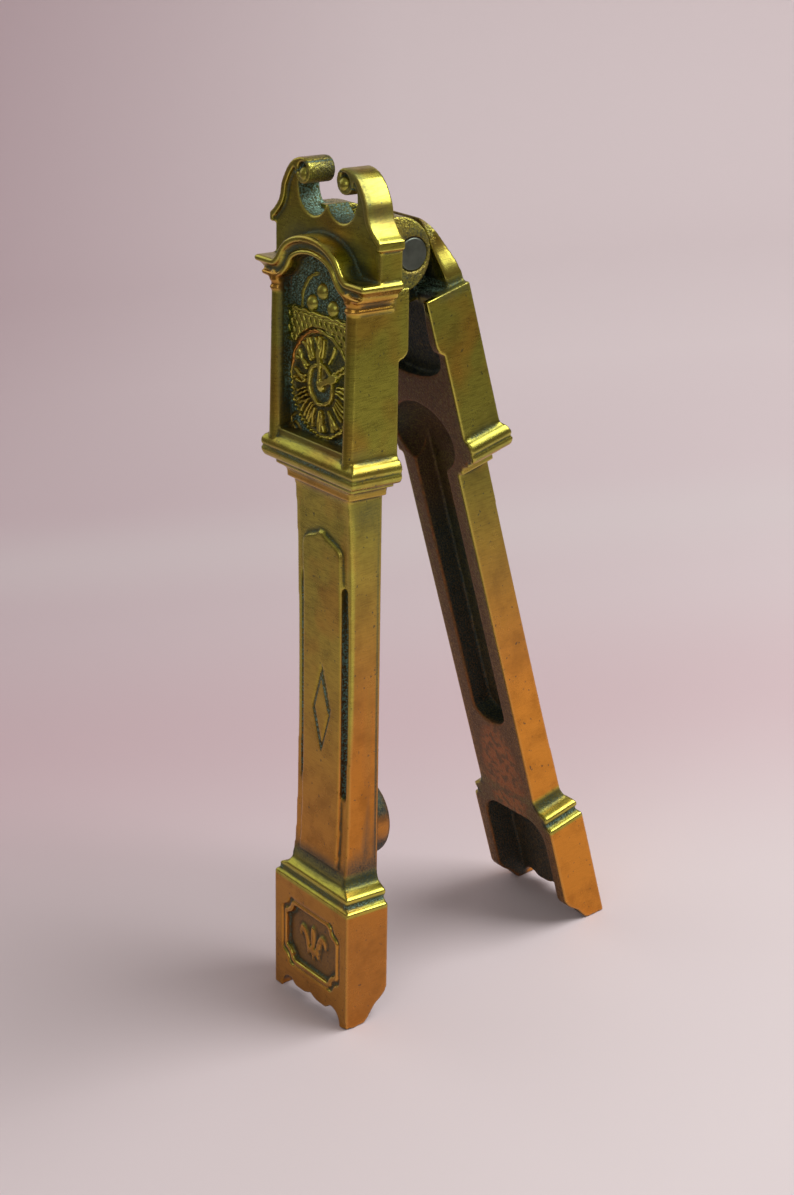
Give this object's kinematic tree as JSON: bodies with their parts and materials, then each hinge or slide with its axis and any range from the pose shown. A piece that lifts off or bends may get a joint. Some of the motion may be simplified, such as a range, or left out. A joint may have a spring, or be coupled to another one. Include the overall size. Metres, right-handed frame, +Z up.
{
  "type": "nutcracker",
  "caption": "Brass nutcracker in the form of a longcase clock: cast arms with nut seats hinge on a steel pin and stand open as a trestle.",
  "frame": {"origin": "on the floor, at the centre of the bounding box of the open pose", "axes": "+Z up, +X along the hinge pin, -Y towards the dial side"},
  "size_m": [0.0274, 0.0526, 0.1317],
  "materials": {
    "cast_brass_front": "polished, aged, tarnished in the recesses",
    "cast_brass_back": "polished outside, brown tarnish inside",
    "pin_steel": "dull grey"
  },
  "bodies": {
    "front": {"front_arm": "cast_brass_front", "hinge_pin": "pin_steel"},
    "back": {"back_arm": "cast_brass_back"}
  },
  "joints": [
    {"name": "arm_hinge", "type": "hinge", "parent": "front", "child": "back", "pos_m": [0, -0.00153, 0.11815], "axis": [1, 0, 0], "range_deg": [-16.3, 29]}
  ]
}
